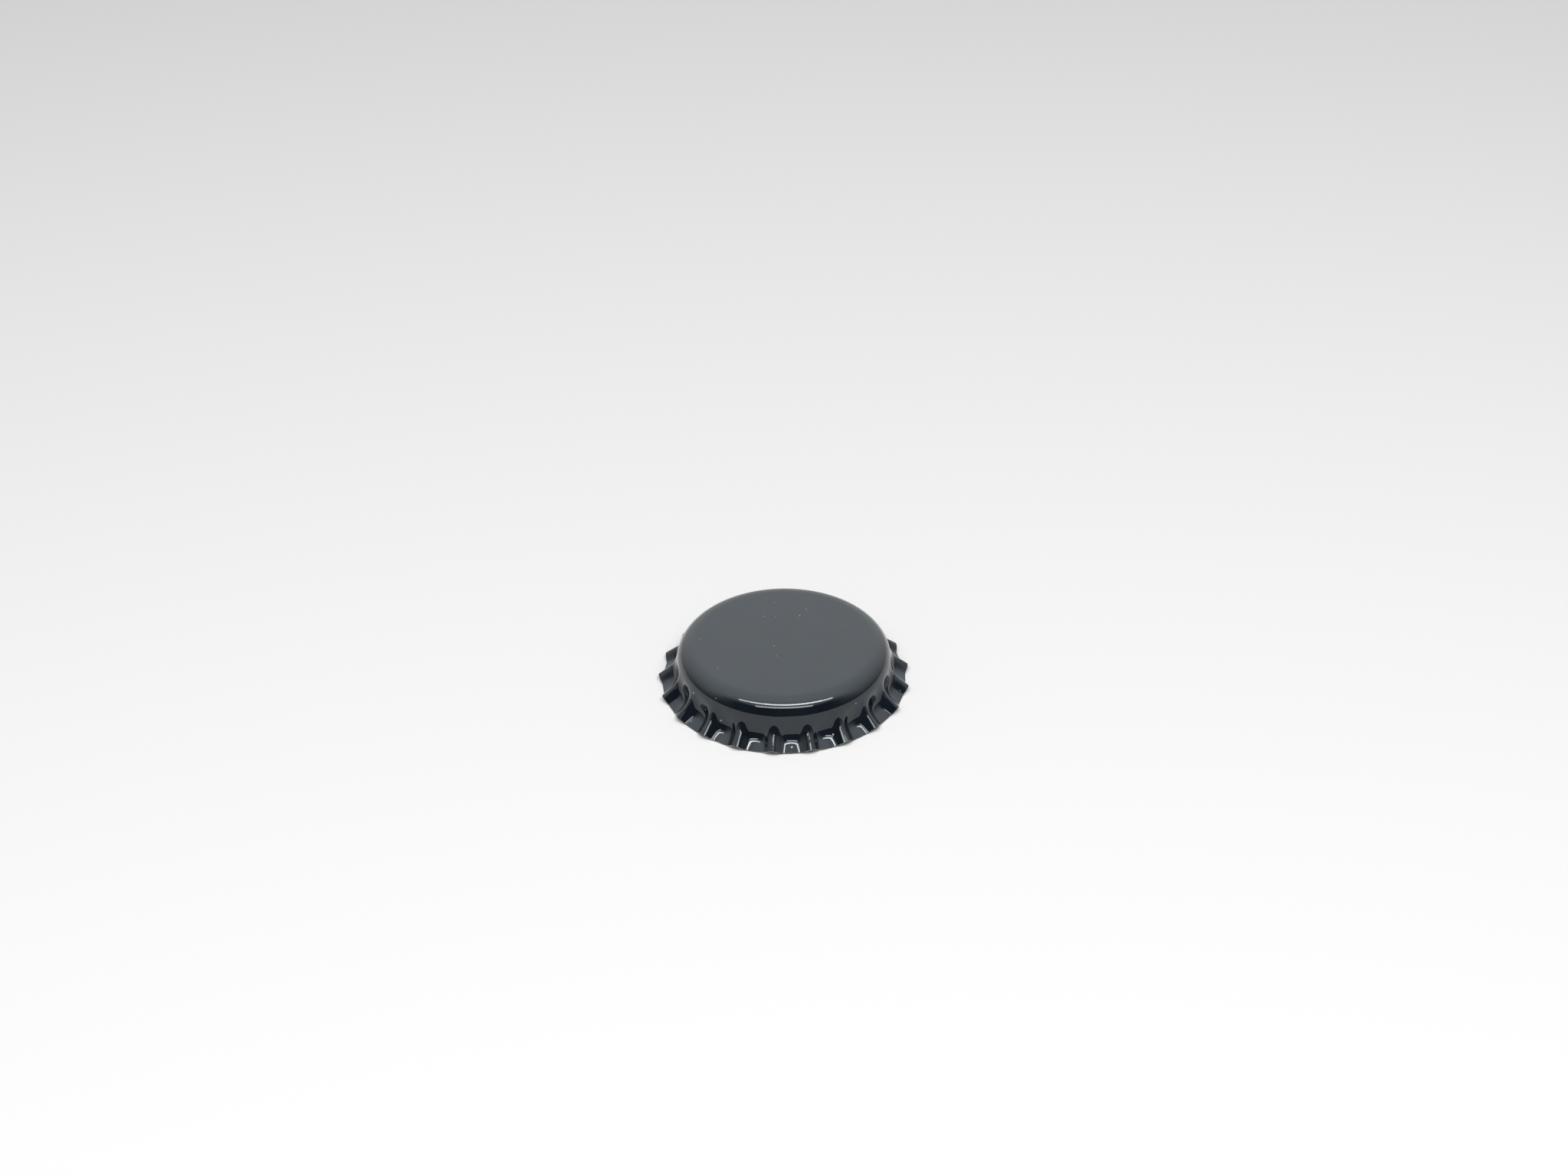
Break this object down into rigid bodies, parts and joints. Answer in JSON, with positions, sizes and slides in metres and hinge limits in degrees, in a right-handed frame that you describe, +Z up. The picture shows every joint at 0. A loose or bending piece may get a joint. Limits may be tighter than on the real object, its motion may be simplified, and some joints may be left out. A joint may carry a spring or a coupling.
{
  "type": "bottle cap",
  "caption": "Pry-off bottle cap: a shallow lacquered steel cup with a fluted, flared skirt and a moulded sealing liner inside.",
  "frame": {"origin": "centre of the circle that the cut edge stands on, on the surface under the cap", "axes": "+Z up along the cap's axis towards the panel; the crest of one flute points along -Y"},
  "size_m": [0.032, 0.0319, 0.006],
  "materials": {
    "lacquered_steel": "glossy black lacquer",
    "sealing_compound": "soft matt compound"
  },
  "bodies": {
    "root": {"cap_shell": "lacquered_steel", "sealing_liner": "sealing_compound"}
  },
  "joints": []
}
